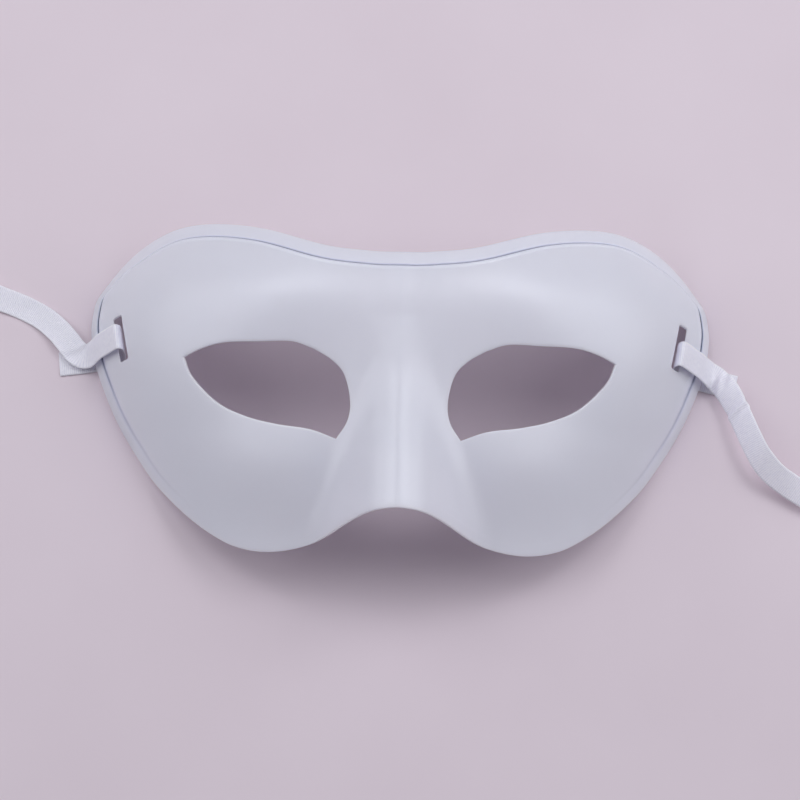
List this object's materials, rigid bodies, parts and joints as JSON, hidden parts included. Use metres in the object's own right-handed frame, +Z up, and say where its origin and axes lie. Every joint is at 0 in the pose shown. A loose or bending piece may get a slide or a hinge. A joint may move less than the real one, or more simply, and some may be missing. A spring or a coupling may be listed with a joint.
{
  "type": "masquerade half mask",
  "caption": "Plain white formed-plastic half mask with open eyes, a nose, a narrow rim flange and a satin tie ribbon looped through a slot at each temple, lying face up.",
  "frame": {"origin": "middle of the shell's box at its base, on the surface that the mask lies on", "axes": "+X to the viewer's right, +Y to the top of the face, +Z up and out of the face; the ribbons are left out of the claim"},
  "size_m": [0.2629, 0.1012, 0.0482],
  "materials": {
    "shell_plastic": "white formed plastic with a soft satin gloss",
    "ribbon_satin": "white satin ribbon with fine cross ribs"
  },
  "bodies": {
    "root": {"mask_shell": "shell_plastic", "ribbon_left": "ribbon_satin", "ribbon_right": "ribbon_satin"}
  },
  "joints": []
}
